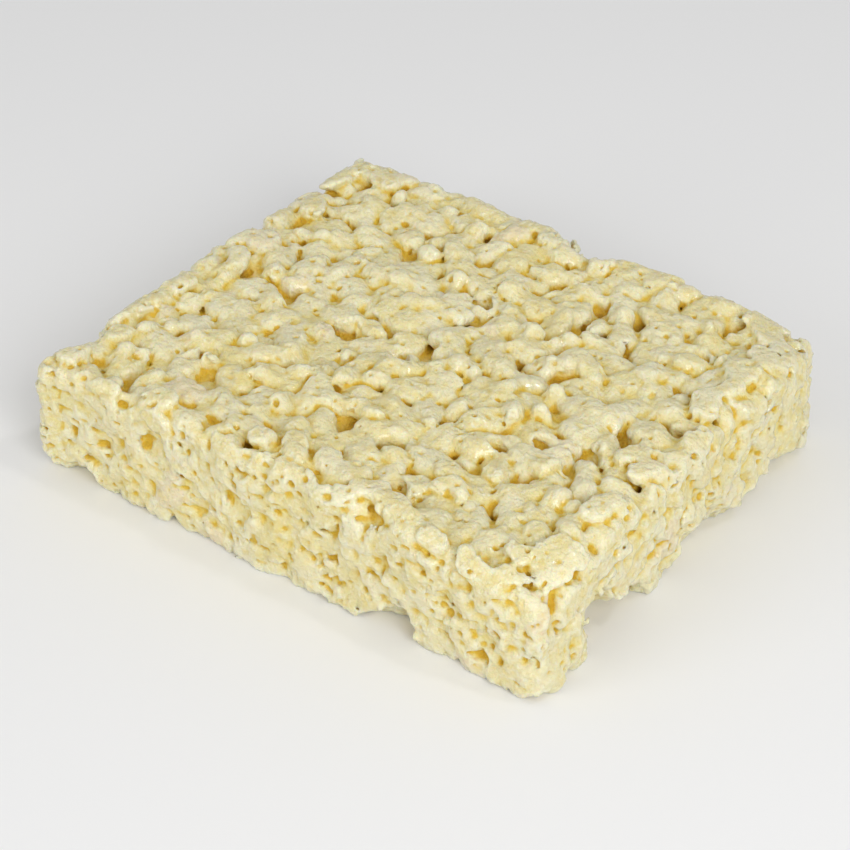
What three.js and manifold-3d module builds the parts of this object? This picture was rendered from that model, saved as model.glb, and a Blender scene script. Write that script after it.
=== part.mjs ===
// A rice crispy treat: one rectangular block of crisped rice bound with marshmallow.
// It is a solid core with the grains that show fused onto it, at true size.
// Millimetres, +Z up. The origin is the middle of the flat base that the treat lies on.
// X runs along the long side and Y along the short one.

import * as THREE from "three";
import { mergeVertices } from "three/addons/utils/BufferGeometryUtils.js";
import Module from "manifold-3d";

// Driving dimensions of the block
const LENGTH = 81;
const WIDTH = 69;
const THICKNESS = 18;

// One grain of puffed rice, as half sizes: along, across and through it
const GRAIN_LONG = 3.9;
const GRAIN_WIDE = 2.5;
const GRAIN_THICK = 2.0;
const FACET_ROUNDING = 1.08; // lets the flat facets of a grain lie about where its skin is

// How the grains lie
const TOP_SPACING = 4.5; // least distance between the middles of two grains
const SIDE_SPACING = 5.7;
const SIZE_SPREAD = 0.16; // share by which a grain may be larger or smaller
const TILT_SPREAD = 0.3; // radians that a grain may tip out of the face it lies in
const SIDE_TURN = 0.8; // radians that a grain on a side may turn from level
const SINK_LEAST = -0.15; // the highest grains are pressed flat by the pan and the knife
const SINK_MOST = 0.8;
const EDGE_GAP = 1.4; // the middles of the grains keep this far from the edges of their face
const TRIES_PER_FACE = 2600;
const SEED = 20;

// The plump grains that catch the eye on the top: the place of each, the direction that it
// points in degrees from +X, and its half length and half width
const PLUMP_GRAINS = [
  { x: 9.5, y: 7.3, points: 49, long: 4.0, wide: 2.3 },
  { x: 11.0, y: -4.8, points: 127, long: 4.2, wide: 2.9 },
  { x: 2.1, y: -9.6, points: 39, long: 3.1, wide: 3.0 },
  { x: -5.8, y: 11.0, points: 22, long: 3.2, wide: 2.9 },
  { x: -2.2, y: 19.2, points: 72, long: 3.3, wide: 2.7 },
  { x: 0.5, y: 5.2, points: 39, long: 3.5, wide: 2.1 },
  { x: -5.9, y: -8.3, points: 82, long: 4.4, wide: 2.2 },
  { x: -11.7, y: -0.7, points: 172, long: 4.2, wide: 1.8 },
  { x: 27.8, y: -18.2, points: 49, long: 3.8, wide: 2.8 },
  { x: 31.9, y: -11.5, points: 130, long: 4.2, wide: 1.8 },
  { x: 30.4, y: -5.1, points: 133, long: 4.2, wide: 1.9 },
  { x: -11.4, y: -23.1, points: 37, long: 2.8, wide: 2.6 },
  { x: -20.2, y: -27.7, points: 26, long: 3.8, wide: 2.8 },
  { x: 26.4, y: 19.2, points: 27, long: 4.4, wide: 2.8 },
  { x: 22.2, y: 25.9, points: 46, long: 4.2, wide: 2.8 },
  { x: -25.8, y: -15.9, points: 68, long: 4.6, wide: 2.3 },
];
const PLUMP_SINK = 0.1;

// The core lies this far inside the outer surface, so that the grains stand out of it
const CORE_BELOW_TOP = 2.2;
const CORE_BELOW_RIM = 0.5;
const CORE_RIM_REACH = 3;
const CORE_BEHIND_SIDE = 0.9;
const CORE_COLUMNS = 11;
const CORE_ROWS = 9;
const CORE_LAYERS = 3;
const CORE_ROUGHNESS = 1.2;

// The top swells and sinks slowly, and falls away at its edges and at two corners
const SWELL = 0.45;
const SWELL_LENGTH_X = 57;
const SWELL_LENGTH_Y = 48;
const RIM_DROP = 0.35;
const RIM_REACH = 1.6;
const CORNERS_PRESSED = [
  { x: LENGTH / 2, y: -WIDTH / 2, drop: 4.5, reach: 5.5 },
  { x: LENGTH / 2, y: WIDTH / 2, drop: 2.8, reach: 7.0 },
];

// Places where grains broke away: the middle and the half sizes of each
const BITES = [
  { at: [19.4, -WIDTH / 2 - 0.4, 1.2], size: [2.7, 4.2, 2.7] },
  { at: [16.4, -WIDTH / 2 - 0.4, 0], size: [2.8, 3.2, 1.8] },
  { at: [-34.6, -WIDTH / 2 - 0.4, 0], size: [3.0, 3.0, 2.8] },
  { at: [LENGTH / 2 + 0.4, -20.4, 3.0], size: [4.6, 3.2, 4.6] },
  { at: [LENGTH / 2 - 1.0, -15.5, 0], size: [5.5, 5.5, 4.6] },
  { at: [LENGTH / 2 + 0.5, 4.2, 0], size: [3.4, 9.0, 4.2] },
  { at: [LENGTH / 2 + 0.5, 21.5, 0], size: [3.2, 10.0, 3.0] },
  { at: [LENGTH / 2 + 1.2, WIDTH / 2 + 0.9, 9], size: [3.5, 6.2, 14.0] },
  { at: [3.4, WIDTH / 2 + 0.9, 15.5], size: [3.6, 3.9, 9.0] },
  { at: [-LENGTH / 2 - 0.9, -26.0, 17.0], size: [2.5, 3.6, 5.0] },
];
const BITE_SIDES = 12;
const BITE_RINGS = 7;

const COLOUR = 0xe9e0b4;
const ROUGHNESS = 0.55;

const wasm = await Module();
wasm.setup();

// A repeatable run of numbers from 0 to 1
function numbersFrom(seed) {
  let state = seed >>> 0;
  return () => {
    state = (Math.imul(state, 1664525) + 1013904223) >>> 0;
    return state / 2 ** 32;
  };
}

// How much of the rim is felt over a point of the base: 1 at the edge, and less further in
function rimShare(x, y, reach) {
  const toEdge = Math.min(LENGTH / 2 - Math.abs(x), WIDTH / 2 - Math.abs(y));
  return Math.exp(-Math.max(toEdge, 0) / reach);
}

// Height of the outer surface over a point of the base
function topHeight(x, y) {
  const wave = Math.sin((2 * Math.PI * x) / SWELL_LENGTH_X);
  const crossWave = Math.cos((2 * Math.PI * y) / SWELL_LENGTH_Y);
  let height = THICKNESS - SWELL / 2 + SWELL * wave * crossWave;
  height -= RIM_DROP * rimShare(x, y, RIM_REACH);
  for (const corner of CORNERS_PRESSED) {
    const apart = Math.hypot(x - corner.x, y - corner.y) / corner.reach;
    height -= corner.drop * Math.exp(-0.5 * apart * apart);
  }
  return height;
}

// The top and the four sides: where each faces, the way that its grains run, the field
// that they are strewn over, and how far each may turn from that way
const FACES = [
  { out: [0, 0, 1], along: [1, 0, 0], field: [LENGTH, WIDTH], turn: Math.PI / 2 },
  { out: [0, -1, 0], along: [1, 0, 0], field: [LENGTH, THICKNESS], turn: SIDE_TURN },
  { out: [1, 0, 0], along: [0, 1, 0], field: [WIDTH, THICKNESS], turn: SIDE_TURN },
  { out: [0, 1, 0], along: [-1, 0, 0], field: [LENGTH, THICKNESS], turn: SIDE_TURN },
  { out: [-1, 0, 0], along: [0, -1, 0], field: [WIDTH, THICKNESS], turn: SIDE_TURN },
];

// The point of the outer surface at s along a face and t across it, from its middle
function surfacePoint(out, along, s, t) {
  if (out.z) return new THREE.Vector3(s, t, topHeight(s, t));
  const reach = out.x ? LENGTH / 2 : WIDTH / 2;
  const middle = new THREE.Vector3(0, 0, THICKNESS / 2 + t);
  return middle.addScaledVector(out, reach).addScaledVector(along, s);
}

// A grain whose top is sunk below the outer surface, turned in its face and tipped out of it
function layGrain(face, { s, t, turned, tipped, sink, long: longHalf, wide: wideHalf }) {
  const out = new THREE.Vector3(...face.out);
  const along = new THREE.Vector3(...face.along);
  const middle = surfacePoint(out, along, s, t).addScaledVector(out, -GRAIN_THICK - sink);
  const flat = along.clone().multiplyScalar(Math.cos(turned));
  flat.addScaledVector(out.clone().cross(along), Math.sin(turned));
  const long = flat.clone().multiplyScalar(Math.cos(tipped));
  long.addScaledVector(out, Math.sin(tipped));
  const wide = out.clone().cross(flat);
  const thick = long.clone().cross(wide);
  return { middle, long, wide, thick, half: [longHalf, wideHalf, GRAIN_THICK] };
}

// The plump grains, then as many more on each face as fit between them
function layGrains() {
  const grains = PLUMP_GRAINS.map(({ x: s, y: t, points, long, wide }) => {
    const turned = THREE.MathUtils.degToRad(points);
    return layGrain(FACES[0], { s, t, turned, tipped: 0, sink: PLUMP_SINK, long, wide });
  });
  const next = numbersFrom(SEED);
  const between = (low, high) => low + (high - low) * next();
  for (const face of FACES) {
    const spacing = face.out[2] ? TOP_SPACING : SIDE_SPACING;
    for (let tries = 0; tries < TRIES_PER_FACE; tries++) {
      const grain = layGrain(face, {
        s: between(-0.5, 0.5) * (face.field[0] - 2 * EDGE_GAP),
        t: between(-0.5, 0.5) * (face.field[1] - 2 * EDGE_GAP),
        turned: between(-face.turn, face.turn),
        tipped: between(-TILT_SPREAD, TILT_SPREAD),
        sink: between(SINK_LEAST, SINK_MOST),
        long: GRAIN_LONG * between(1 - SIZE_SPREAD, 1 + SIZE_SPREAD),
        wide: GRAIN_WIDE * between(1 - SIZE_SPREAD, 1 + SIZE_SPREAD),
      });
      const near = (other) => other.middle.distanceTo(grain.middle) < spacing;
      if (!grains.some(near)) grains.push(grain);
    }
  }
  return grains;
}

// A closed geometry as a solid that can be joined and cut
function solid(geometry) {
  geometry.deleteAttribute("normal");
  geometry.deleteAttribute("uv");
  const merged = mergeVertices(geometry);
  const mesh = new wasm.Mesh({
    numProp: 3,
    vertProperties: merged.attributes.position.array,
    triVerts: new Uint32Array(merged.index.array),
  });
  return new wasm.Manifold(mesh);
}

function grainSolid({ middle, long, wide, thick, half }) {
  const geometry = new THREE.IcosahedronGeometry(FACET_ROUNDING);
  geometry.scale(...half);
  const lie = new THREE.Matrix4().makeBasis(long, wide, thick).setPosition(middle);
  return solid(geometry.applyMatrix4(lie));
}

function biteSolid({ at, size }) {
  const geometry = new THREE.SphereGeometry(1, BITE_SIDES, BITE_RINGS);
  return solid(geometry.scale(...size).translate(...at));
}

// The block that the grains lie on, a little rough, with a top that follows the outer surface
function coreSolid() {
  const size = [LENGTH - 2 * CORE_BEHIND_SIDE, WIDTH - 2 * CORE_BEHIND_SIDE, THICKNESS];
  const box = new THREE.BoxGeometry(...size, CORE_COLUMNS, CORE_ROWS, CORE_LAYERS);
  box.deleteAttribute("normal");
  box.deleteAttribute("uv");
  const core = mergeVertices(box);
  const next = numbersFrom(SEED + 1);
  const rough = () => CORE_ROUGHNESS * (next() - 0.5);
  const points = core.attributes.position;
  for (let i = 0; i < points.count; i++) {
    const level = points.getZ(i) / THICKNESS + 0.5;
    const x = points.getX(i) + rough();
    const y = points.getY(i) + rough();
    const rim = rimShare(x, y, CORE_RIM_REACH);
    const below = THREE.MathUtils.lerp(CORE_BELOW_TOP, CORE_BELOW_RIM, rim);
    const height = topHeight(x, y) - below + rough();
    points.setXYZ(i, x, y, level * height);
  }
  return solid(core);
}

// The whole block, trimmed to its size. Of what the cuts leave, only the largest piece is
// kept, without the hollows that the grains seal.
function treatSolid() {
  const trim = new THREE.BoxGeometry(LENGTH, WIDTH, THICKNESS);
  const grains = layGrains().map(grainSolid);
  let block = grains.reduce((joined, grain) => joined.add(grain), coreSolid());
  for (const bite of BITES) block = block.subtract(biteSolid(bite));
  block = block.intersect(solid(trim.translate(0, 0, THICKNESS / 2)));
  return block.decompose().sort((a, b) => b.volume() - a.volume())[0];
}

function geometryOf(shape) {
  const { numProp, numVert, vertProperties, triVerts } = shape.getMesh();
  const points = new Float32Array(numVert * 3);
  for (let i = 0; i < numVert; i++) {
    points.set(vertProperties.subarray(i * numProp, i * numProp + 3), i * 3);
  }
  const geometry = new THREE.BufferGeometry();
  geometry.setAttribute("position", new THREE.BufferAttribute(points, 3));
  geometry.setIndex(new THREE.BufferAttribute(triVerts, 1));
  geometry.computeVertexNormals();
  return geometry;
}

const treat = new THREE.Mesh(
  geometryOf(treatSolid()),
  new THREE.MeshStandardMaterial({ color: COLOUR, roughness: ROUGHNESS, metalness: 0 }),
);
treat.name = "treat";

const model = new THREE.Group();
model.add(treat);
export default model;
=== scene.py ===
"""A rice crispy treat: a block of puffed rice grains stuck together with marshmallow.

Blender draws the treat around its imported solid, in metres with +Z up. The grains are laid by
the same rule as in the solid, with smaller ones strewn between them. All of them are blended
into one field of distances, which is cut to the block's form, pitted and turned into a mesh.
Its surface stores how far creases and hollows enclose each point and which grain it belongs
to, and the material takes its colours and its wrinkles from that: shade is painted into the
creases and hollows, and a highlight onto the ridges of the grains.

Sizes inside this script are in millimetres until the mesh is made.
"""

import math
from typing import NamedTuple

import bpy
import numpy as np
import openvdb
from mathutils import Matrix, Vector


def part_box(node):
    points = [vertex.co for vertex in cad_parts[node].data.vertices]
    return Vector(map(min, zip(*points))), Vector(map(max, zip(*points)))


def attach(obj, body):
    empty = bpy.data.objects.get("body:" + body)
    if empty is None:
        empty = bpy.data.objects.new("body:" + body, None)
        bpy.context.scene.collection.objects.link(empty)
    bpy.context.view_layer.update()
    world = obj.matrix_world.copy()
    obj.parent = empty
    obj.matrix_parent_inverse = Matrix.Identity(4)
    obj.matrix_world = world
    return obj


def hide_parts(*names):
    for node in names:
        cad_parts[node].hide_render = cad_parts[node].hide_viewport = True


bl_info = {
    "name": "Rice Crispy Treat",
    "version": (1, 0, 0),
    "blender": (4, 5, 0),
    "location": "3D View > Sidebar > Treat",
    "description": "Makes a block of puffed rice and marshmallow, and a stage for it",
    "category": "Object",
}

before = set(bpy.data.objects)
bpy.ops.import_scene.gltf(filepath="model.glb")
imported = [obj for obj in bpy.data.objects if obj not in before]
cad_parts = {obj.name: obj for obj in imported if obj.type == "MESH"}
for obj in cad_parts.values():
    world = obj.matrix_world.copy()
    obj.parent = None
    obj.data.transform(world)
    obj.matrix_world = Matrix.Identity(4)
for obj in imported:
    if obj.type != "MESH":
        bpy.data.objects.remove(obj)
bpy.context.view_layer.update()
TREAT_LOW, TREAT_HIGH = (Vector(corner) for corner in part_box("treat"))
LENGTH, WIDTH, THICKNESS = (1000 * side for side in TREAT_HIGH - TREAT_LOW)
MM = 0.001
MOST_TRIANGLES = 196000

# How the grains of the solid lie, in the same words and numbers as its source
SINK_LEAST = -0.15
SINK_MOST = 0.8
TILT_SPREAD = 0.3
SIDE_TURN = 0.8
EDGE_GAP = 1.4
TRIES_PER_FACE = 2600
PLUMP_SINK = 0.1
PLUMP_GRAINS = (  # x, y, degrees from +X, half length, half width
    (9.5, 7.3, 49, 4.0, 2.3),
    (11.0, -4.8, 127, 4.2, 2.9),
    (2.1, -9.6, 39, 3.1, 3.0),
    (-5.8, 11.0, 22, 3.2, 2.9),
    (-2.2, 19.2, 72, 3.3, 2.7),
    (0.5, 5.2, 39, 3.5, 2.1),
    (-5.9, -8.3, 82, 4.4, 2.2),
    (-11.7, -0.7, 172, 4.2, 1.8),
    (27.8, -18.2, 49, 3.8, 2.8),
    (31.9, -11.5, 130, 4.2, 1.8),
    (30.4, -5.1, 133, 4.2, 1.9),
    (-11.4, -23.1, 37, 2.8, 2.6),
    (-20.2, -27.7, 26, 3.8, 2.8),
    (26.4, 19.2, 27, 4.4, 2.8),
    (22.2, 25.9, 46, 4.2, 2.8),
    (-25.8, -15.9, 68, 4.6, 2.3),
)

# The form of the block
SWELL = 0.45
SWELL_LENGTH_X = 57
SWELL_LENGTH_Y = 48
RIM_DROP = 0.35
RIM_REACH = 1.6
CORNERS_PRESSED = (  # x, y, drop, reach
    (LENGTH / 2, -WIDTH / 2, 4.5, 5.5),
    (LENGTH / 2, WIDTH / 2, 2.8, 7.0),
)
BITES = (  # the middle and the half sizes of each
    ((19.4, -WIDTH / 2 - 0.4, 1.2), (2.7, 4.2, 2.7)),
    ((16.4, -WIDTH / 2 - 0.4, 0), (2.8, 3.2, 1.8)),
    ((-34.6, -WIDTH / 2 - 0.4, 0), (3.0, 3.0, 2.8)),
    ((LENGTH / 2 + 0.4, -20.4, 3.0), (4.6, 3.2, 4.6)),
    ((LENGTH / 2 - 1.0, -15.5, 0), (5.5, 5.5, 4.6)),
    ((LENGTH / 2 + 0.5, 4.2, 0), (3.4, 9.0, 4.2)),
    ((LENGTH / 2 + 0.5, 21.5, 0), (3.2, 10.0, 3.0)),
    ((LENGTH / 2 + 1.2, WIDTH / 2 + 0.9, 9), (3.5, 6.2, 14.0)),
    ((3.4, WIDTH / 2 + 0.9, 15.5), (3.6, 3.9, 9.0)),
    ((-LENGTH / 2 - 0.9, -26.0, 17.0), (2.5, 3.6, 5.0)),
)
BULGES = (  # x, y, z, reach, and how far a side stands out there
    (LENGTH / 2, -29.5, 2.5, 4.5, 1.2),
    (-LENGTH / 2, -WIDTH / 2, 5.0, 5.0, 1.2),
)
GAPS = (  # x, y, radius and depth of the wide gaps between the grains of the top
    (-2.3, 13.1, 1.3, 4.2),
    (-3.0, -5.0, 1.2, 3.0),
    (-0.8, -0.4, 0.9, 2.8),
    (11.1, 23.2, 1.1, 3.0),
    (-2.0, 33.0, 1.2, 3.6),
    (28.6, 20.3, 0.9, 2.6),
    (29.0, -7.8, 1.4, 4.4),
    (23.7, -9.1, 1.2, 3.2),
    (13.6, -27.2, 1.5, 3.4),
    (25.5, -17.0, 1.1, 3.2),
    (-19.6, -24.9, 1.0, 2.8),
    (-25.8, -21.3, 0.9, 2.6),
    (-17.2, -19.0, 0.9, 2.4),
    (-12.4, -3.0, 1.0, 2.8),
    (19.2, -13.3, 0.9, 2.6),
    (36.4, 3.9, 1.2, 3.0),
    (-12.2, 1.4, 1.0, 2.8),
)
SHAPED_GRAINS = (  # x, y, degrees from +X, degrees up, sink, half length and half width
    (-8.0, 3.8, 20, 5, 0.2, 3.3, 2.3),
    (38.3, -32.5, 30, 78, 1.4, 3.8, 2.4),
    (33.3, -31.4, 100, 8, 0.3, 3.1, 2.7),
    (37.4, -28.4, 40, 5, 0.3, 3.3, 2.3),
    (-38.2, 19.4, 75, 5, -0.7, 3.6, 2.4),
    (-38.4, 12.4, 110, 5, -0.5, 3.3, 2.2),
    (-37.8, 31.2, 40, 10, -0.5, 3.4, 2.4),
    (-26.0, 32.2, 10, 5, -0.6, 3.6, 2.4),
    (-14.6, 32.2, 165, 5, -0.5, 3.4, 2.2),
    (-7.2, 32.0, 15, 5, -0.8, 3.0, 2.3),
    (-38.4, -13.2, 80, 5, -0.5, 3.5, 2.2),
    (-38.6, -2.8, 100, 5, -0.4, 3.5, 2.2),
    (-37.6, -27.6, 50, 5, -0.5, 3.2, 2.2),
    (24.2, 32.0, 10, 5, -0.6, 3.4, 2.2),
)


# Sizes and colours that a user would change

def length_property(name, description, default):
    return bpy.props.FloatProperty(
        name=name, description=description, default=default * MM, min=0.0, unit="LENGTH"
    )


def angle_property(name, description, degrees):
    return bpy.props.FloatProperty(
        name=name, description=description, default=math.radians(degrees), subtype="ANGLE"
    )


def power_property(name, description, default):
    return bpy.props.FloatProperty(
        name=name, description=description, default=default, min=0.0, unit="POWER"
    )


def colour_property(name, description, default):
    return bpy.props.FloatVectorProperty(
        name=name, description=description, default=default, subtype="COLOR", min=0.0, max=1.0
    )


class TreatSizes(bpy.types.PropertyGroup):
    """Sizes of the grains and of what binds them."""

    grain_long: length_property("Grain length", "Half the length of a grain", 3.9)
    grain_wide: length_property("Grain width", "Half the width of a grain", 2.5)
    grain_thick: length_property("Grain thickness", "Half the thickness of a grain", 2.0)
    top_spacing: length_property("Top spacing", "Least distance between grains of the top", 4.5)
    side_spacing: length_property("Side spacing", "Least distance between grains of a side", 5.7)
    blend: length_property("Blend", "How softly grains run into each other", 0.17)
    detail: length_property("Detail", "Distance between the points of the field", 0.2)
    size_spread: bpy.props.FloatProperty(
        name="Size spread",
        description="Share by which a grain differs in size",
        default=0.16,
        min=0.0,
        max=1.0,
        subtype="FACTOR",
    )
    seed: bpy.props.IntProperty(name="Seed", description="Lay of the grains", default=20)


class TreatColours(bpy.types.PropertyGroup):
    """Colours of the treat, from its highest points to its deepest gaps, with painted highlight on
    the ridges and painted shade in the creases and gaps.
    """

    cream: colour_property("Cream", "Puffed rice where it stands out", (0.81, 0.725, 0.38))
    # The grains' own buttery patches, and also painted warm shade on the slopes into the creases and
    # hollows
    butter_and_warm_shade: colour_property("Butter", "Slopes between the grains", (0.81, 0.67, 0.24))
    # Painted shade: deep yellow down in the creases and small pits
    painted_crease_shade: colour_property("Gold", "Creases and small pits", (0.79, 0.54, 0.045))
    # Painted shade: darker yellow down in the gaps
    painted_gap_shade: colour_property("Amber", "Gaps", (0.74, 0.47, 0.035))
    # Painted shade: brown on the floor of the deepest gaps
    painted_deep_gap_shade: colour_property("Toast", "Floor of the deepest gaps", (0.48, 0.25, 0.018))
    blush: colour_property("Blush", "A few wet, see-through grains", (0.78, 0.64, 0.42))
    # The grains' own dry white spots, and also a painted highlight along their ridges
    chalk_and_ridge_highlight: colour_property("Chalk", "Dry white spots on the grains", (0.87, 0.83, 0.61))


class StageSettings(bpy.types.PropertyGroup):
    """The floor, the lights and the view."""

    floor: colour_property("Floor", "Colour of the floor", (0.86, 0.86, 0.86))
    key_power: power_property("Key light", "Power of the light before the short side", 2.6)
    fill_power: power_property("Fill light", "Power of the light before the long side", 1.0)
    spark_power: power_property("Spark light", "Power of the small light for highlights", 0.35)
    sky_strength: bpy.props.FloatProperty(
        name="Sky", description="Strength of the even light all round", default=0.54, min=0.0
    )
    azimuth: angle_property("Azimuth", "Direction of the view", 37)
    elevation: angle_property("Elevation", "Height of the view", 35.6)


# The faces of the block and the grains that lie on them

GAP_CLEARANCE = 1.4  # least distance from the edge of a wide gap to the middle of a filling grain


def top_height(x, y):
    """Height of the outer surface over points of the base."""
    wave = np.sin(2 * math.pi * x / SWELL_LENGTH_X)
    cross_wave = np.cos(2 * math.pi * y / SWELL_LENGTH_Y)
    to_edge = np.minimum(LENGTH / 2 - abs(x), WIDTH / 2 - abs(y))
    height = THICKNESS - SWELL / 2 + SWELL * wave * cross_wave
    height = height - RIM_DROP * np.exp(-np.maximum(to_edge, 0) / RIM_REACH)
    for corner_x, corner_y, drop, reach in CORNERS_PRESSED:
        apart = np.hypot(x - corner_x, y - corner_y) / reach
        height = height - drop * np.exp(-0.5 * apart * apart)
    return height


class Face:
    """One face of the block: where it faces, its size, and how far its grains turn in it."""

    def __init__(self, out, along, size, turn=math.pi / 2):
        self.out = np.array(out, float)
        self.along = np.array(along, float)
        self.across = np.cross(self.out, self.along)
        self.size = np.array(size, float)
        self.turn = turn

    def points(self, s, t):
        """The points of the outer surface at s along the face and t across it."""
        if self.out[2]:
            height = top_height(s, t) if self.out[2] > 0 else np.zeros(len(s))
            return np.stack([s, t, height], 1)
        reach = LENGTH / 2 if self.out[0] else WIDTH / 2
        middle = np.array([0, 0, THICKNESS / 2]) + self.out * reach
        return middle + np.outer(s, self.along) + np.outer(t, self.across)

    def grains(self, s, t, turned, tipped, sink, half):
        """Grains whose tops are sunk below the face, turned in it and tipped out of it."""
        middle = self.points(s, t) - np.outer(half[:, 2] + sink, self.out)
        flat = np.outer(np.cos(turned), self.along) + np.outer(np.sin(turned), self.across)
        long = flat * np.cos(tipped)[:, None] + np.outer(np.sin(tipped), self.out)
        wide = np.cross(self.out, flat)
        return Grains(middle, np.stack([long, wide, np.cross(long, wide)], 1), half)


class Grains:
    """Grains of puffed rice: the middle, the three axes and the three half sizes of each."""

    def __init__(self, middle, axes, half):
        self.middle = middle
        self.axes = axes
        self.half = half

    def __len__(self):
        return len(self.middle)

    def clear_of_gaps(self):
        """The grains that leave the wide gaps of the top open."""
        x, y, radius, _ = np.array(GAPS).T
        apart = np.hypot(self.middle[:, :1] - x, self.middle[:, 1:2] - y)
        clear = (apart > radius + GAP_CLEARANCE).all(1)
        return Grains(self.middle[clear], self.axes[clear], self.half[clear])

    def joined(self, more, spacing):
        """These grains and as many more, in turn, as keep their distance from the others."""
        middles = np.vstack([self.middle, more.middle])
        count = len(self)
        kept = list(range(count))
        for number in range(count, len(middles)):
            near = ((middles[:count] - middles[number]) ** 2).sum(1).min()
            if near >= spacing * spacing:
                middles[count] = middles[number]
                kept.append(number)
                count += 1
        return Grains(
            middles[:count],
            np.vstack([self.axes, more.axes])[kept],
            np.vstack([self.half, more.half])[kept],
        )


TOP = Face((0, 0, 1), (1, 0, 0), (LENGTH, WIDTH))
SIDES = (
    Face((0, -1, 0), (1, 0, 0), (LENGTH, THICKNESS), SIDE_TURN),
    Face((1, 0, 0), (0, 1, 0), (WIDTH, THICKNESS), SIDE_TURN),
    Face((0, 1, 0), (-1, 0, 0), (LENGTH, THICKNESS), SIDE_TURN),
    Face((-1, 0, 0), (0, -1, 0), (WIDTH, THICKNESS), SIDE_TURN),
)
BASE = Face((0, 0, -1), (1, 0, 0), (LENGTH, WIDTH))


# Laying the grains

DRAW_FACTOR = 1664525
DRAW_STEP = 1013904223
DRAWS_PER_GRAIN = 7

TIP_SINK = 1.4  # how much deeper a grain that stands on end is sunk
SLIMMEST = 0.85
STOUTEST = 1.1
FILLING = (  # faces, tries, least and most sink, spacing, least and most size, most tip
    ((TOP,), 5000, -0.9, 0.4, 3.2, 0.58, 0.88, 1.3),
    ((TOP,), 5000, 1.0, 3.4, 3.0, 0.75, 1.0, 0.75),
    (SIDES, 1800, -1.9, 0.6, 3.3, 0.68, 1.0, 0.75),
    (SIDES, 1400, 0.6, 2.6, 3.1, 0.75, 1.0, 0.75),
    ((BASE,), 4000, -1.6, 1.0, 3.6, 0.75, 1.0, 0.75),
)


def numbers_from(seed, count):
    """A repeatable run of numbers from 0 to 1, the same as in the solid's source."""
    numbers = []
    state = seed
    for _ in range(count):
        state = (state * DRAW_FACTOR + DRAW_STEP) % 2**32
        numbers.append(state / 2**32)
    return np.array(numbers)


def usual_half_sizes(sizes):
    """Half the length, width and thickness of a usual grain."""
    return 1000 * np.array([sizes.grain_long, sizes.grain_wide, sizes.grain_thick])


def lay_lead_grains(sizes):
    """The grains of the solid: the plump ones, then as many as fit between them."""
    usual = usual_half_sizes(sizes)
    x, y, degrees, long, wide = np.array(PLUMP_GRAINS, float).T
    level = np.zeros(len(x))
    half = np.stack([long, wide, level + usual[2]], 1)
    grains = TOP.grains(x, y, np.radians(degrees), level, level + PLUMP_SINK, half)
    faces = (TOP, *SIDES)
    draws = numbers_from(sizes.seed, DRAWS_PER_GRAIN * TRIES_PER_FACE * len(faces))
    for face, drawn in zip(faces, draws.reshape(len(faces), TRIES_PER_FACE, DRAWS_PER_GRAIN)):
        s, t, turned, tipped, sink, long, wide = drawn.T
        s = (s - 0.5) * (face.size[0] - 2 * EDGE_GAP)
        t = (t - 0.5) * (face.size[1] - 2 * EDGE_GAP)
        turned = (2 * turned - 1) * face.turn
        tipped = (2 * tipped - 1) * TILT_SPREAD
        sink = SINK_LEAST + (SINK_MOST - SINK_LEAST) * sink
        scale = 1 + (2 * np.stack([long, wide], 1) - 1) * sizes.size_spread
        half = np.hstack([scale, np.ones((len(s), 1))]) * usual
        spacing = sizes.top_spacing if face is TOP else sizes.side_spacing
        grains = grains.joined(face.grains(s, t, turned, tipped, sink, half), 1000 * spacing)
    return grains


def shaped_grains(usual):
    """The grains of the top that are set one by one, most of them along its rims."""
    x, y, degrees, up, sink, long, wide = np.array(SHAPED_GRAINS, float).T
    half = np.stack([long, wide, 0 * long + usual[2]], 1)
    return TOP.grains(x, y, np.radians(degrees), np.radians(up), sink, half)


def strew_grains(grains, sizes):
    """Adds the smaller and deeper grains that show between the lead grains."""
    usual = usual_half_sizes(sizes)
    grains = grains.joined(shaped_grains(usual), 0)
    random = np.random.default_rng(sizes.seed)
    for faces, tries, sink_least, sink_most, spacing, size_least, size_most, tip in FILLING:
        for face in faces:
            s, t = (random.uniform(-0.5, 0.5, (tries, 2)) * face.size).T
            turned = random.uniform(-math.pi / 2, math.pi / 2, tries)
            tipped = random.uniform(-tip, tip, tries)
            sink = random.uniform(sink_least, sink_most, tries) + TIP_SINK * np.sin(abs(tipped))
            size = random.uniform(size_least, size_most, (tries, 1))
            slim = random.uniform(SLIMMEST, STOUTEST, (tries, 3))
            more = face.grains(s, t, turned, tipped, sink, usual * size * slim)
            if face is TOP:
                more = more.clear_of_gaps()
            grains = grains.joined(more, spacing)
    return grains


# The field of distances

class Layer(NamedTuple):
    """A layer of noise: about how large its features are, and the seed they are drawn from."""

    cell: float
    seed: int


WARP = 0.4
WARP_LAYER = Layer(3.3, 10)
FINE_WARP = 0.16
FINE_WARP_LAYER = Layer(1.4, 20)
PUFF_LEVEL = 0.25  # where noise crosses from a crease to a bump
TINY = 1e-6  # keeps a division from failing at the middle of a form
LEAST_SLOPE = 1e-4


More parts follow.
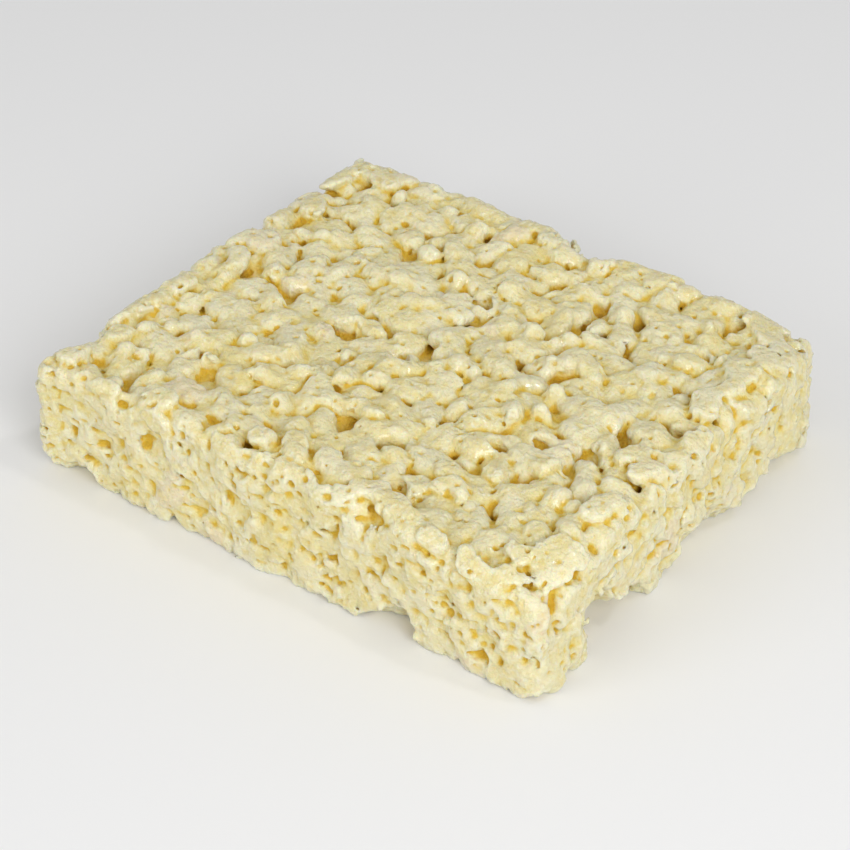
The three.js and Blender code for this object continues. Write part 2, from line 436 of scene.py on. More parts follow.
class Field:
    """Evenly spaced points round the block. A field holds one number for each of them."""

    MARGIN = 2.0

    def __init__(self, step):
        high = (LENGTH / 2 + self.MARGIN, WIDTH / 2 + self.MARGIN, THICKNESS + self.MARGIN)
        low = (-high[0], -high[1], -self.MARGIN)
        self.step = step
        self.axes = [np.arange(a, b, step, dtype=np.float32) for a, b in zip(low, high)]
        self.low = np.array([axis[0] for axis in self.axes])
        self.shape = tuple(len(axis) for axis in self.axes)
        self.warp = [
            WARP * self.noise(WARP_LAYER, axis) + FINE_WARP * self.noise(FINE_WARP_LAYER, axis)
            for axis in range(3)
        ]

    def grid(self):
        """The x, y and z of the points, each in the shape that spreads over the others."""
        x, y, z = self.axes
        return x[:, None, None], y[None, :, None], z[None, None, :]

    def block(self, middle, reach):
        """The part of the field within reach of a point, with its x, y and z from there.

        The x, y and z are bent a little, so that nothing comes out as a plain round shape.
        """
        spans = []
        for axis, at, far in zip(self.axes, middle, reach):
            first = int((at - far - axis[0]) / self.step)
            last = int((at + far - axis[0]) / self.step) + 2
            spans.append(slice(max(first, 0), max(min(last, len(axis)), 0)))
        spans = tuple(spans)
        x, y, z = (axis[span] - at for axis, span, at in zip(self.axes, spans, middle))
        bent = [warp[spans] for warp in self.warp]
        return spans, x[:, None, None] + bent[0], y[:, None] + bent[1], z + bent[2]

    def noise(self, layer, seed_step=0):
        """Smooth noise from -1 to 1, with features about as large as the cell of its layer."""
        counts = [int(n * self.step / layer.cell) + 2 for n in self.shape]
        random = np.random.default_rng(layer.seed + seed_step)
        values = random.uniform(-1, 1, counts).astype(np.float32)
        for axis, n in enumerate(self.shape):
            at = np.arange(n, dtype=np.float32) * self.step / layer.cell
            first = at.astype(int)
            part = at - first
            part = (part * part * (3 - 2 * part)).reshape([-1 if a == axis else 1 for a in range(3)])
            below = np.take(values, first, axis)
            values = below + (np.take(values, first + 1, axis) - below) * part
        return values

    def puffs(self, layer):
        """Round bumps with narrow creases between them."""
        return abs(self.noise(layer)) - PUFF_LEVEL

    def hollows(self, layer, share):
        """Ragged hollows, strewn through space: 0 between them, up to 1 in their middles."""
        return np.clip((self.noise(layer) - share) / (1 - share), 0, 1)

    def blur(self, values, reach):
        """The mean of the values within reach along each axis, with zero beyond the edge."""
        cells = max(int(round(reach / self.step)), 1)
        width = 2 * cells + 1
        for axis in range(3):
            pad = [(cells + 1, cells) if a == axis else (0, 0) for a in range(3)]
            sums = np.cumsum(np.pad(values, pad), axis, dtype=np.float32)
            lower = np.arange(self.shape[axis])
            values = (np.take(sums, lower + width, axis) - np.take(sums, lower, axis)) / width
        return values

    def sample(self, values, points):
        """The values at any points, read between the points of the field."""
        at = (points - self.low) / self.step
        first = np.clip(at.astype(int), 0, np.array(self.shape) - 2)
        part = np.clip(at - first, 0, 1)
        total = 0
        for corner in np.ndindex(2, 2, 2):
            weight = np.prod(np.where(corner, part, 1 - part), axis=1)
            total = total + weight * values[tuple((first + corner).T)]
        return total


def ellipsoid(x, y, z, half):
    """About the distance to an ellipsoid at the origin."""
    a = x / half[0]
    b = y / half[1]
    c = z / half[2]
    level = np.sqrt(a * a + b * b + c * c) + TINY
    slope = np.sqrt((a / half[0]) ** 2 + (b / half[1]) ** 2 + (c / half[2]) ** 2) + TINY
    return level * (level - 1) / slope


def flattened(x, y, z, half):
    """About the distance to a form that is oval in plan, with a flattened top and bottom.

    It has the power of 2.5 where an ellipsoid has a square.
    """
    a = x / half[0]
    b = y / half[1]
    c = abs(z) / half[2]
    plan = np.sqrt(a * a + b * b) + TINY
    level = (plan * plan * np.sqrt(plan) + c * c * np.sqrt(c)) ** 0.4
    across = plan / level
    up = c / level
    outward = across * np.sqrt(across * ((a / half[0]) ** 2 + (b / half[1]) ** 2)) / plan
    upward = up * np.sqrt(up) / half[2]
    return (level - 1) / np.sqrt(outward * outward + upward * upward + LEAST_SLOPE)


def soft_lower(a, b, width):
    """The lower of two fields, with the crease between them filled."""
    overlap = np.maximum(width - abs(a - b), 0) / width
    return np.minimum(a, b) - 0.25 * width * overlap * overlap


def soft_higher(a, b, width):
    """The higher of two fields, with the edge between them rounded."""
    return -soft_lower(-a, -b, width)


# The form of one grain, and all of them blended

LUMPS = (  # how far the numbers differ that tell one grain's form from another's
    0.16,  # bend to a side
    0.1,  # arch
    3,  # places of the swellings along the grain
    3,  # and across it
    3,  # places of the ripples across the grain
    3,  # and along it
    0.8,  # place of the groove
    0.4,  # depth of the groove, where it isn't below zero
)
BEND_LEVEL = 0.4  # share of the half length taken off a bend, so that the grain stays in place
SWELLING = 0.15  # height of the swellings
SWELLING_ALONG = 1.5  # their waves along and across the grain, in radians for each millimetre
SWELLING_ACROSS = 1.8
RIPPLE = 0.07  # height of the ripples
RIPPLE_ALONG = 1.3  # their waves, in the same way
RIPPLE_ACROSS = 3.6
RIPPLE_SWAY = 0.8  # how far the ripples sway from side to side, in radians of their own waves
RIPPLE_SWAY_ALONG = 1.1
GROOVE_SPREAD = 0.12  # square of about half the width of the groove
GROOVE_FADE = 2  # how strongly the groove fades towards the tips
GRAIN_SKIN = 1.3  # how far round a grain its distance counts
GRAIN_CORE = 1.2  # how far inside a grain its distance counts


def grain_distance(x, y, z, axes, half, lumps):
    """About the distance to one puffed grain: bent, lumpy, and grooved along its length."""
    bend, arch, wave_a, wave_b, ripple_b, ripple_a, groove_at, groove_depth = lumps
    a, b, c = (x * row[0] + y * row[1] + z * row[2] for row in axes.astype(np.float32))
    b = b + bend * (a * a / half[0] - BEND_LEVEL * half[0])
    c = c + arch * (a * a / half[0] - BEND_LEVEL * half[0])
    swelling = np.sin(SWELLING_ALONG * a + wave_a) * np.sin(SWELLING_ACROSS * b + wave_b)
    sway = RIPPLE_SWAY * np.sin(RIPPLE_SWAY_ALONG * a)
    ripple = np.sin(RIPPLE_ACROSS * b + ripple_b + sway) * np.cos(RIPPLE_ALONG * a + ripple_a)
    to_tip = (a / half[0]) ** 4
    groove = np.exp(-((b - groove_at) ** 2) / GROOVE_SPREAD - to_tip * GROOVE_FADE)
    lumpy = SWELLING * swelling + RIPPLE * ripple - max(groove_depth, 0) * groove
    return flattened(a, b, c, half) - lumpy


def blend_grains(field, grains, blend, seed):
    """The distance to all grains, softly blended, and the number of the nearest one."""
    total = np.zeros(field.shape, np.float32)
    nearest = np.full(field.shape, GRAIN_SKIN, np.float32)
    owner = np.zeros(field.shape, np.int16)
    random = np.random.default_rng(seed)
    for number, (middle, axes, half) in enumerate(zip(grains.middle, grains.axes, grains.half)):
        lumps = random.uniform(-1, 1, len(LUMPS)) * LUMPS
        reach = np.sqrt(((axes * half[:, None]) ** 2).sum(0)) + GRAIN_SKIN
        spans, x, y, z = field.block(middle, reach)
        if x.size == 0:
            continue
        distance = grain_distance(x, y, z, axes, half, lumps)
        total[spans] += np.exp(np.maximum(distance, -GRAIN_CORE) / -blend)
        closer = distance < nearest[spans]
        nearest[spans][closer] = distance[closer]
        owner[spans][closer] = number
    blended = -blend * np.log(total + math.exp(-GRAIN_SKIN / blend))
    return blended, owner


# The outside of the block and what fills it

CORNER_RADIUS = 1.2
SIDE_BULGE = 0.5  # how far grains may stand out of the sides
TOP_BULGE = 0.9
TOP_EDGE_ROUNDING = 3.6
BASE_EDGE_ROUNDING = 1.0
WOBBLE = 0.6
WOBBLE_LAYER = Layer(7.5, 101)
FINE_WOBBLE = 0.45
FINE_WOBBLE_LAYER = Layer(2.9, 102)
BITE_SURROUND = 4  # how far round a bite its distance counts

CORE_DEPTH = 2.7  # how far the core lies below the top
CORE_RISE = 1.0  # how much less that is at the sides
CORE_RISE_REACH = 1.6
CORE_WAVES = 1.0
CORE_WAVE_LAYER = Layer(3.1, 104)
CRUMB = 0.9
CRUMB_LAYER = Layer(2.7, 105)
CRUMB_PUFFS = 0.7
CRUMB_PUFF_LAYER = Layer(1.5, 106)
SIDE_CORE_DEPTH = 0.6
SIDE_CRUMB = 0.9
BASE_CORE_DEPTH = 0.2
BASE_CRUMB = 0.6
CORE_ROUNDING = 0.5

WEB_REACH = 0.45
WEB_LEVEL = 0.3  # how far below the smoothed surface the webs lie
WEB_SPREAD = 0.34
WEB_LAYER = Layer(4.2, 107)
WEB_ROUNDING = 0.15

GAP_ALONG = 1.5  # half length and half width of a wide gap, for each millimetre of its radius
GAP_ACROSS = 1.05
GAP_RAGGEDNESS = 0.35


class Clearance:
    """How far each point lies inside the top, the sides and the base of the block."""

    def __init__(self, field):
        x, y, z = field.grid()
        wobble = WOBBLE * field.noise(WOBBLE_LAYER) + FINE_WOBBLE * field.noise(FINE_WOBBLE_LAYER)
        self.top = (top_height(x, y) - z).astype(np.float32)
        length_side = LENGTH / 2 - abs(x)
        width_side = WIDTH / 2 - abs(y)
        corner = np.hypot(
            np.maximum(CORNER_RADIUS - length_side, 0), np.maximum(CORNER_RADIUS - width_side, 0)
        )
        plan = np.where(corner > 0, CORNER_RADIUS - corner, np.minimum(length_side, width_side))
        self.side = plan + SIDE_BULGE + wobble
        self.base = z
        for at_x, at_y, at_z, reach, amount in BULGES:
            apart = ((x - at_x) ** 2 + (y - at_y) ** 2 + (z - at_z) ** 2) / reach**2
            self.side += amount * np.exp(-apart)
        for middle, half in BITES:
            spans, dx, dy, dz = field.block(middle, np.array(half) + BITE_SURROUND)
            self.side[spans] = np.minimum(self.side[spans], ellipsoid(dx, dy, dz, half))


def outer_form(clearance):
    """The block's outer surface, with rounded edges."""
    upper = soft_higher(-clearance.side, -clearance.top - TOP_BULGE, TOP_EDGE_ROUNDING)
    return soft_higher(upper, -clearance.base, BASE_EDGE_ROUNDING)


def inner_core(field, clearance):
    """What fills the block behind the grains that show."""
    below = CORE_DEPTH - CORE_RISE * np.exp(np.minimum(-clearance.side, 0) / CORE_RISE_REACH)
    top = below + CORE_WAVES * field.noise(CORE_WAVE_LAYER) - clearance.top
    crumb = CRUMB * field.noise(CRUMB_LAYER) - CRUMB_PUFFS * field.puffs(CRUMB_PUFF_LAYER)
    side = SIDE_CORE_DEPTH + SIDE_CRUMB * crumb - clearance.side
    base = BASE_CORE_DEPTH + BASE_CRUMB * crumb - clearance.base
    return soft_higher(np.maximum(top, side), base, CORE_ROUNDING)


def marshmallow_webs(field, solid):
    """Fills the creases between the grains with marshmallow, more in some places."""
    smooth = field.blur(field.blur(solid, WEB_REACH), WEB_REACH)
    amount = WEB_LEVEL + WEB_SPREAD * field.noise(WEB_LAYER)
    return soft_lower(solid, smooth + amount, WEB_ROUNDING)


def cut_gaps(field, solid):
    """Opens the wide gaps between the grains of the top."""
    for x, y, radius, depth in GAPS:
        middle = (x, y, float(top_height(x, y)))
        spans, dx, dy, dz = field.block(middle, (3 * radius, 3 * radius, depth + 1))
        # The walls are uneven, and differ from gap to gap because their waves start at x and y
        ragged = GAP_RAGGEDNESS * np.sin(1.7 * dx + 2.1 * dz + x) * np.cos(1.5 * dy - 0.9 * dz + y)
        hole = ellipsoid(dx, dy, dz, (radius * GAP_ALONG, radius * GAP_ACROSS, depth)) + ragged
        solid[spans] = np.maximum(solid[spans], -hole)


# Relief and pits

class Relief(NamedTuple):
    """Bumps or hollows: their noise, their height, and how much higher they are where cut."""

    layer: Layer
    height: float
    cut_height: float

    def heights(self, cut):
        """The height at each point, from how far the point belongs to a cut side."""
        return self.height + self.cut_height * cut


class Pits(NamedTuple):
    """Pits of one kind: how many, their least and most radius, their stretch and the seed."""

    count: int
    least: float
    most: float
    stretch: tuple
    seed: int


PUFFS = Relief(Layer(1.7, 108), 0.2, 0.3)
HOLLOWS = Relief(Layer(1.5, 110), 0.2, 1.0)
HOLLOW_SHARE = 0.3
FINE_PUFFS = Relief(Layer(0.8, 109), 0.17, 0.08)
FINE_HOLLOWS = Relief(Layer(0.9, 111), 0.5, 0.2)
FINE_HOLLOW_SHARE = 0.35

CRATERS = Pits(50, 0.7, 1.2, (1.3, 1.3, 1), 203)
TOP_PITS = Pits(260, 0.3, 0.55, (1, 1, 1.6), 201)
SIDE_PITS = Pits(380, 0.28, 0.6, (1.4, 1.4, 1), 202)
BASE_PITS = Pits(300, 0.3, 0.8, (1, 1, 1.5), 204)
PIT_LEAST_SCALE = 0.75
PIT_MOST_SCALE = 1.3
PIT_SURROUND = 0.9  # how far round a pit its distance counts

CUT_DEPTH = 2.2  # how far in from a side the look of a cut reaches
CUT_BELOW_TOP = 3
TOP_LAYER_DEPTH = 3
TOP_FROM_SIDE = 1.5
SIDE_LAYER_DEPTH = 1.6
SIDE_ABOVE_BASE = 0.4
BASE_LAYER_DEPTH = 0.6

CORE_BLEND = 0.4
FORM_ROUNDING = 0.3
SOFTENING = 0.2
RELIEF_REACH = 0.6  # reach of the smoothed surface that the relief is measured from
RELIEF_HIGHEST = 0.24
RELIEF_DEEPEST = 0.15
RELIEF_DEEPER_ABOVE = 0.25  # added above the base, in full from BASE_FADE upwards
BASE_FADE = 2
RELIEF_DEEPER_UNCUT = 2  # added away from the cut sides


def sink_pits(field, solid, choose, pits):
    """Small pits and burst bubbles, sunk into the surface where choose is true."""
    random = np.random.default_rng(pits.seed)
    at_surface = np.flatnonzero((abs(solid) < 0.5 * field.step) & choose)
    picked = random.choice(at_surface, min(pits.count, len(at_surface)), replace=False)
    places = np.array(np.unravel_index(picked, field.shape)).T
    for middle in field.low + places * field.step:
        radius = pits.least + (pits.most - pits.least) * random.random() ** 2
        half = radius * random.uniform(PIT_LEAST_SCALE, PIT_MOST_SCALE, 3) * pits.stretch
        spans, dx, dy, dz = field.block(middle, half + PIT_SURROUND)
        place = tuple(((middle - field.low) / field.step).astype(int))
        bent = [warp[place] for warp in field.warp]
        hole = ellipsoid(dx - bent[0], dy - bent[1], dz - bent[2], half)
        solid[spans] = np.maximum(solid[spans], -hole)


def shape_block(field, sizes):
    """The whole block as a field of distances, with the number of the nearest grain."""
    grains = strew_grains(lay_lead_grains(sizes), sizes)
    blended, owner = blend_grains(field, grains, 1000 * sizes.blend, sizes.seed)
    clearance = Clearance(field)
    solid = soft_lower(blended, inner_core(field, clearance), CORE_BLEND)
    solid = marshmallow_webs(field, solid)
    solid = soft_higher(solid, outer_form(clearance), FORM_ROUNDING)
    cut = np.clip(1 - clearance.side / CUT_DEPTH, 0, 1)
    cut = cut * np.clip(clearance.top / CUT_BELOW_TOP, 0, 1)
    solid -= field.puffs(PUFFS.layer) * PUFFS.heights(cut)
    solid += field.hollows(HOLLOWS.layer, HOLLOW_SHARE) * HOLLOWS.heights(cut)
    cut_gaps(field, solid)
    on_top = (clearance.top < TOP_LAYER_DEPTH) & (clearance.side > TOP_FROM_SIDE)
    on_side = (clearance.side < SIDE_LAYER_DEPTH) & (clearance.base > SIDE_ABOVE_BASE)
    at_base = clearance.base < BASE_LAYER_DEPTH
    sink_pits(field, solid, on_side, CRATERS)
    solid = field.blur(field.blur(solid, SOFTENING), SOFTENING)
    solid -= field.puffs(FINE_PUFFS.layer) * FINE_PUFFS.heights(cut)
    solid += field.hollows(FINE_HOLLOWS.layer, FINE_HOLLOW_SHARE) * FINE_HOLLOWS.heights(cut)
    smooth = field.blur(solid, RELIEF_REACH)
    deepest = RELIEF_DEEPEST + RELIEF_DEEPER_ABOVE * np.clip(clearance.base / BASE_FADE, 0, 1)
    deepest = deepest + RELIEF_DEEPER_UNCUT * (1 - cut)
    solid = np.clip(solid, smooth - RELIEF_HIGHEST, smooth + deepest)
    sink_pits(field, solid, on_top, TOP_PITS)
    sink_pits(field, solid, on_side, SIDE_PITS)
    sink_pits(field, solid, at_base, BASE_PITS)
    return np.maximum(solid, -clearance.base), owner, grains, clearance


# From the field to a mesh

BAND = 3  # how many steps of the field to each side of the surface are kept
CREASE_REACH = 0.7
HOLLOW_REACH = 2.0
CUT_TONE_DEPTH = 1.6
TONE_SEED = 301


def main_shell(faces, vertex_count):
    """Which faces belong to the largest connected surface."""
    edges = np.concatenate([faces[:, [0, 1]], faces[:, [1, 2]]])
    label = np.arange(vertex_count)
    while True:
        low = np.minimum(label[edges[:, 0]], label[edges[:, 1]])
        new = label.copy()
        np.minimum.at(new, edges[:, 0], low)
        np.minimum.at(new, edges[:, 1], low)
        new = new[new]
        if (new == label).all():
            break
        label = new
    owner = label[faces[:, 0]]
    return owner == np.bincount(owner).argmax()


def mesh_field(field, solid):
    """The surface of the solid as points in millimetres and triangles."""
    band = BAND * field.step
    grid = openvdb.FloatGrid(float(band))
    grid.copyFromArray(np.clip(solid, -band, band))
    points, triangles, quads = grid.convertToPolygons(0.0, 0.0)
    faces = np.concatenate([quads[:, [0, 1, 2]], quads[:, [0, 2, 3]]]).astype(np.int64)
    if len(triangles):
        faces = np.concatenate([faces, triangles])
    faces = faces[main_shell(faces, len(points))]
    used = np.unique(faces)
    place = np.zeros(len(points), np.int64)
    place[used] = np.arange(len(used))
    points = field.low + points[used] * field.step
    points[:, 2] = np.maximum(points[:, 2], 0)
    return points, place[faces][:, ::-1]


def new_mesh(name, points, faces):
    """A smooth mesh of triangles."""
    mesh = bpy.data.meshes.new(name)
    mesh.vertices.add(len(points))
    mesh.vertices.foreach_set("co", np.asarray(points, np.float32).ravel())
    mesh.loops.add(3 * len(faces))
    mesh.loops.foreach_set("vertex_index", np.asarray(faces, np.int32).ravel())
    mesh.polygons.add(len(faces))
    mesh.polygons.foreach_set("loop_start", np.arange(0, 3 * len(faces), 3, dtype=np.int32))
    mesh.polygons.foreach_set("use_smooth", np.ones(len(faces), bool))
    mesh.update(calc_edges=True)
    return mesh


def thin_out(piece, most):
    """Brings a piece under a number of triangles, keeping them where it curves."""
    count = len(piece.data.polygons)
    if count <= most:
        return
    decimate = piece.modifiers.new("Thin out", "DECIMATE")
    decimate.ratio = most / count
    shaped = piece.evaluated_get(bpy.context.evaluated_depsgraph_get())
    mesh = bpy.data.meshes.new_from_object(shaped)
    piece.modifiers.clear()
    full = piece.data
    piece.data = mesh
    bpy.data.meshes.remove(full)


def store(mesh, name, values, kind="FLOAT"):
    """Stores a value or a vector for each point of a mesh, for its material to read."""
    attribute = mesh.attributes.new(name, kind, "POINT")
    key = "vector" if kind == "FLOAT_VECTOR" else "value"
    attribute.data.foreach_set(key, np.asarray(values, np.float32).ravel())


def store_surface(mesh, field, solid, owner, grains, clearance):
    """Stores what the material needs to know about each point of the surface."""
    points = np.empty(3 * len(mesh.vertices), np.float32)
    mesh.vertices.foreach_get("co", points)
    points = points.reshape(-1, 3) / MM
    filled = np.clip(0.5 - solid / field.step, 0, 1)
    # How far creases and hollows enclose each point, which the material turns into painted shade,
    # and on bulging ridges into a painted highlight
    store(mesh, "crease", field.sample(field.blur(filled, CREASE_REACH), points))
    store(mesh, "hollow", field.sample(field.blur(filled, HOLLOW_REACH), points))
    from_side = field.sample(clearance.side, points)
    store(mesh, "cut", np.clip(1 - from_side / CUT_TONE_DEPTH, 0, 1))
    places = np.rint((points - field.low) / field.step).astype(int)
    numbers = owner[tuple(np.clip(places, 0, np.array(field.shape) - 1).T)]
    tones = np.random.default_rng(TONE_SEED).random(len(grains))
    store(mesh, "tone", tones[numbers])
    from_middle = points - grains.middle[numbers]
    grain_at = np.einsum("nij,nj->ni", grains.axes[numbers], from_middle)
    store(mesh, "grain_at", grain_at, "FLOAT_VECTOR")


# Materials

WRINKLE_STRETCH = (0.35, 1.6, 1.6)  # wrinkles run along a grain
RICE_IOR = 1.45
COAT_ROUGHNESS = 0.1
GLOW_WEIGHT = 0.5  # light that passes through the rice
GLOW_COLOUR = (1.0, 0.72, 0.34)
GLOW_REACH = 1.3
FLOOR_ROUGHNESS = 0.7


class Nodes:
    """Short names for building a material's nodes."""

    def __init__(self, name):
        self.material = bpy.data.materials.new(name)
        self.material.use_nodes = True
        self.tree = self.material.node_tree
        self.shader = self.tree.nodes["Principled BSDF"]

    def link(self, source, socket):
        """Feeds a socket from another."""
        self.tree.links.new(source, socket)

    def add(self, kind, **settings):
        """A new node with its settings."""
        node = self.tree.nodes.new(kind)
        for key, value in settings.items():
            setattr(node, key, value)
        return node

    def attribute(self, name, output="Fac"):
        """A value or a vector that the surface stores."""
        return self.add("ShaderNodeAttribute", attribute_name=name).outputs[output]

    def ramp(self, value, low, high, at_low, at_high):
        """A value that runs from at_low to at_high while another runs from low to high."""
        node = self.add("ShaderNodeMapRange", interpolation_type="SMOOTHSTEP")
        self.link(value, node.inputs["Value"])
        for socket, number in zip(node.inputs[1:5], (low, high, at_low, at_high)):
            socket.default_value = number
        return node.outputs["Result"]

    def math(self, operation, a, b):
        """Two values multiplied or added."""
        node = self.add("ShaderNodeMath", operation=operation)
        self.link(a, node.inputs[0])
        self.link(b, node.inputs[1])
        return node.outputs[0]

    def coloured(self, share, under, colour):
        """A share of a colour over what lies under it, which is a socket or a colour."""
        node = self.add("ShaderNodeMix", data_type="RGBA")
        self.link(share, node.inputs[0])
        if hasattr(under, "links"):
            self.link(under, node.inputs[6])
        else:
            node.inputs[6].default_value = (*under, 1)
        node.inputs[7].default_value = (*colour, 1)
        return node.outputs[2]

    def noise(self, place, scale, detail, roughness=0.55):
        """Noise with about as many features to a unit of place as its scale."""
        node = self.add("ShaderNodeTexNoise")
        self.link(place, node.inputs["Vector"])
        node.inputs["Scale"].default_value = scale
        node.inputs["Detail"].default_value = detail
        node.inputs["Roughness"].default_value = roughness
        return node.outputs["Fac"]

    def bump(self, height, distance, strength, after=None):
        """Relief up to a distance in millimetres high, on top of what came before."""
        node = self.add("ShaderNodeBump")
        node.inputs["Strength"].default_value = strength
        node.inputs["Distance"].default_value = distance * MM
        self.link(height, node.inputs["Height"])
        if after is not None:
            self.link(after, node.inputs["Normal"])
        return node.outputs["Normal"]


def rice_colour(n, place, hollow, blotches, colours):
    """Cream on the grains, with chalky and buttery spots, a painted highlight on the ridges, and
    painted shade in deepening yellows down in the creases and gaps.
    """
    crease = n.attribute("crease")
    tone = n.attribute("tone")
    speckle = n.noise(place, scale=1500, detail=4)
    patches = n.noise(place, scale=90, detail=2)
    coats = (  # what a coat follows, from and to which value of it, its share at each, its colour
        (tone, 0.0, 1.0, 0.0, 0.6, colours.chalk_and_ridge_highlight),
        (speckle, 0.5, 0.66, 0.0, 0.8, colours.chalk_and_ridge_highlight),
        (tone, 0.965, 0.985, 0.0, 0.5, colours.blush),
        (patches, 0.45, 0.75, 0.0, 0.4, colours.butter_and_warm_shade),
        (blotches, 0.48, 0.7, 0.0, 0.6, colours.butter_and_warm_shade),
        # Painted highlight: lighter where the surface bulges out, on the ridges of the grains
        (crease, 0.3, 0.46, 0.7, 0.0, colours.chalk_and_ridge_highlight),
        # Painted shade from here on: warmer and deeper yellow, then brown, the more the creases and
        # gaps enclose a point
        (hollow, 0.5, 0.6, 0.0, 0.4, colours.butter_and_warm_shade),
        (crease, 0.5, 0.61, 0.0, 0.9, colours.butter_and_warm_shade),
        (crease, 0.56, 0.69, 0.0, 0.95, colours.painted_crease_shade),
        (hollow, 0.6, 0.74, 0.0, 0.9, colours.painted_gap_shade),
        (hollow, 0.78, 0.88, 0.0, 0.8, colours.painted_deep_gap_shade),
    )
    colour = colours.cream
    for follows, low, high, at_low, at_high, coat in coats:
        colour = n.coloured(n.ramp(follows, low, high, at_low, at_high), colour, coat)
    return colour


def rice_relief(n, place, cut):
    """Wrinkles along each grain, soft dents, and fine crumb that is stronger where cut."""
    wrinkle_at = n.add("ShaderNodeVectorMath", operation="MULTIPLY")
    n.link(n.attribute("grain_at", "Vector"), wrinkle_at.inputs[0])
    wrinkle_at.inputs[1].default_value = WRINKLE_STRETCH
    wrinkles = n.noise(wrinkle_at.outputs[0], scale=1.0, detail=2)
    dents = n.noise(place, scale=1100, detail=3)
    crumb = n.noise(place, scale=2600, detail=4, roughness=0.65)
    crumb = n.math("MULTIPLY", crumb, n.ramp(cut, 0.2, 0.9, 0.6, 1.0))
    normal = n.bump(wrinkles, distance=0.4, strength=0.4)
    normal = n.bump(dents, distance=0.7, strength=0.8, after=normal)
    return n.bump(crumb, distance=0.4, strength=0.9, after=normal)


def crisped_rice_material(colours):
    """Puffed rice under marshmallow: cream on top, painted shade in deep yellow in the creases and
    gaps, with a thin gloss.
    """
    n = Nodes("Crisped rice")
    place = n.add("ShaderNodeTexCoord").outputs["Object"]
    hollow = n.attribute("hollow")
    cut = n.attribute("cut")
    blotches = n.noise(place, scale=520, detail=3)
    shader = n.shader
    n.link(rice_colour(n, place, hollow, blotches, colours), shader.inputs["Base Color"])
    n.link(rice_relief(n, place, cut), shader.inputs["Normal"])

    drier_where_cut = n.ramp(cut, 0.1, 0.8, 0.0, 0.2)
    dryness = n.math("ADD", drier_where_cut, n.ramp(blotches, 0.35, 0.65, 0.28, 0.5))
    n.link(dryness, shader.inputs["Roughness"])
    film = n.ramp(n.noise(place, scale=160, detail=2), 0.38, 0.6, 0.1, 0.8)
    open_to_light = n.ramp(hollow, 0.5, 0.66, 1.0, 0.0)
    n.link(n.math("MULTIPLY", film, open_to_light), shader.inputs["Coat Weight"])
    shader.inputs["Coat Roughness"].default_value = COAT_ROUGHNESS
    shader.inputs["IOR"].default_value = RICE_IOR
    shader.inputs["Subsurface Weight"].default_value = GLOW_WEIGHT
    shader.inputs["Subsurface Radius"].default_value = GLOW_COLOUR
    shader.inputs["Subsurface Scale"].default_value = GLOW_REACH * MM
    return n.material


def floor_material(colour):
    """A pale, dull sheet."""
    n = Nodes("Pale floor")
    place = n.add("ShaderNodeTexCoord").outputs["Object"]
    n.shader.inputs["Base Color"].default_value = (*colour, 1)
    n.shader.inputs["Roughness"].default_value = FLOOR_ROUGHNESS
    grain = n.noise(place, scale=300, detail=2)
    n.link(n.bump(grain, distance=0.02, strength=0.2), n.shader.inputs["Normal"])
    return n.material


# The treat and the stage, with the places of the camera and the lights in metres

CAMERA_DISTANCE = 0.3505
CAMERA_TARGET = Vector((-0.00522, 0.00397, 0.0))
CAMERA_LENS = 105.9
CAMERA_NEAREST = 0.01
FLOOR_SIZE = 6.0
LIGHT_TARGET = Vector((0, 0, 0.01))
LIGHTS = (  # name, place, size, and the setting that holds the power
    ("Key", (0.52, -0.32, 0.38), 0.4, "key_power"),
    ("Fill", (-0.22, -0.6, 0.28), 0.4, "fill_power"),
    ("Spark", (0.3, 0.1, 0.6), 0.07, "spark_power"),
)


class TREAT_OT_block(bpy.types.Operator):
    """Make the treat in place of its plain solid"""

    bl_idname = "treat.block"
    bl_label = "Make the treat"

    def execute(self, context):
        sizes = context.scene.treat_sizes
        field = Field(1000 * sizes.detail * (1.0))
        solid, owner, grains, clearance = shape_block(field, sizes)
        points, faces = mesh_field(field, solid)
        piece = bpy.data.objects.new("treat_block", new_mesh("treat_block", points * MM, faces))
        context.scene.collection.objects.link(piece)
        thin_out(piece, MOST_TRIANGLES)
        store_surface(piece.data, field, solid, owner, grains, clearance)
        piece.data.materials.append(crisped_rice_material(context.scene.treat_colours))
        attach(piece, "root")
        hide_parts("treat")
        return {"FINISHED"}


def aim(thing, place, target):
    """Puts a light or a camera at a place and turns it to a target."""
    thing.location = place
    thing.rotation_euler = (target - place).to_track_quat("-Z", "Y").to_euler()


def add_camera(scene, azimuth, elevation):
    """The camera, looking at the treat from an azimuth and an elevation."""
    towards = Vector((
        math.sin(azimuth) * math.cos(elevation),
        -math.cos(azimuth) * math.cos(elevation),
        math.sin(elevation),
    ))
    camera = bpy.data.objects.new("Camera", bpy.data.cameras.new("Camera"))
    scene.collection.objects.link(camera)
    camera.data.lens = CAMERA_LENS
    camera.data.clip_start = CAMERA_NEAREST
    aim(camera, CAMERA_TARGET + towards * CAMERA_DISTANCE, CAMERA_TARGET)
    scene.camera = camera


def add_floor(scene, colour):
    """A square floor under the treat."""
    half = FLOOR_SIZE / 2
    corners = [(-half, -half, 0), (half, -half, 0), (half, half, 0), (-half, half, 0)]
    sheet = bpy.data.meshes.new("floor")
    sheet.from_pydata(corners, [], [(0, 1, 2, 3)])
    floor = bpy.data.objects.new("floor", sheet)
    scene.collection.objects.link(floor)
    floor.data.materials.append(floor_material(colour))


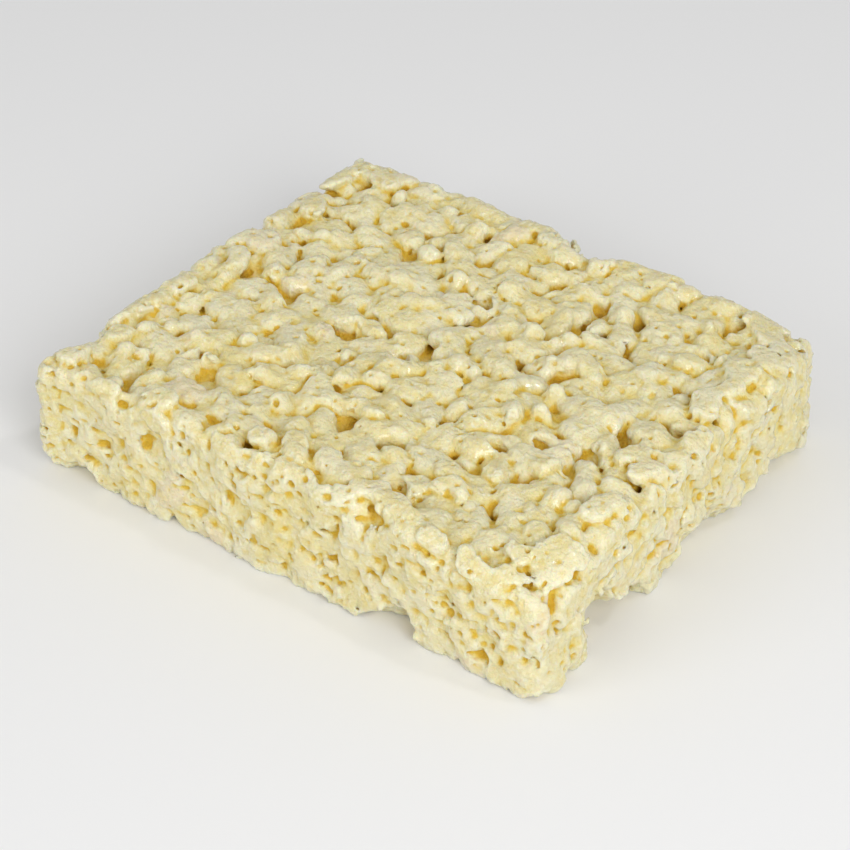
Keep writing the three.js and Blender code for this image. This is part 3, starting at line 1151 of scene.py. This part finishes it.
def add_light(scene, name, place, size, power):
    """A round area light that shines on the treat."""
    light = bpy.data.lights.new(name, "AREA")
    light.shape = "DISK"
    light.size = size
    light.energy = power
    lamp = bpy.data.objects.new(name, light)
    scene.collection.objects.link(lamp)
    aim(lamp, Vector(place), LIGHT_TARGET)


def add_sky(scene, strength):
    """Even white light from all round."""
    sky = bpy.data.worlds.new("Sky")
    sky.use_nodes = True
    background = sky.node_tree.nodes["Background"]
    background.inputs["Color"].default_value = (1, 1, 1, 1)
    background.inputs["Strength"].default_value = strength
    scene.world = sky


class TREAT_OT_stage(bpy.types.Operator):
    """Make the floor, the lights and the camera"""

    bl_idname = "treat.stage"
    bl_label = "Make the stage"

    def execute(self, context):
        scene = context.scene
        settings = scene.treat_stage
        add_camera(scene, settings.azimuth, settings.elevation)
        add_floor(scene, settings.floor)
        for name, place, size, power in LIGHTS:
            add_light(scene, name, place, size, getattr(settings, power))
        add_sky(scene, settings.sky_strength)
        scene.view_settings.view_transform = "Standard"
        return {"FINISHED"}


class TREAT_PT_panel(bpy.types.Panel):
    """Lists what the script makes"""

    bl_label = "Rice Crispy Treat"
    bl_idname = "TREAT_PT_panel"
    bl_space_type = "VIEW_3D"
    bl_region_type = "UI"
    bl_category = "Treat"

    def draw(self, context):
        layout = self.layout
        for group in GROUPS:
            settings = getattr(context.scene, group)
            box = layout.box()
            for name in settings.__annotations__:
                box.prop(settings, name)
        layout.operator(TREAT_OT_block.bl_idname)
        layout.operator(TREAT_OT_stage.bl_idname)


GROUPS = {"treat_sizes": TreatSizes, "treat_colours": TreatColours, "treat_stage": StageSettings}
CLASSES = (*GROUPS.values(), TREAT_OT_block, TREAT_OT_stage, TREAT_PT_panel)


def register():
    for made in CLASSES:
        bpy.utils.register_class(made)
    for name, group in GROUPS.items():
        setattr(bpy.types.Scene, name, bpy.props.PointerProperty(type=group))


def unregister():
    for name in GROUPS:
        delattr(bpy.types.Scene, name)
    for made in reversed(CLASSES):
        bpy.utils.unregister_class(made)


def main():
    register()
    bpy.ops.treat.stage()
    bpy.ops.treat.block()


if __name__ == "__main__":
    main()
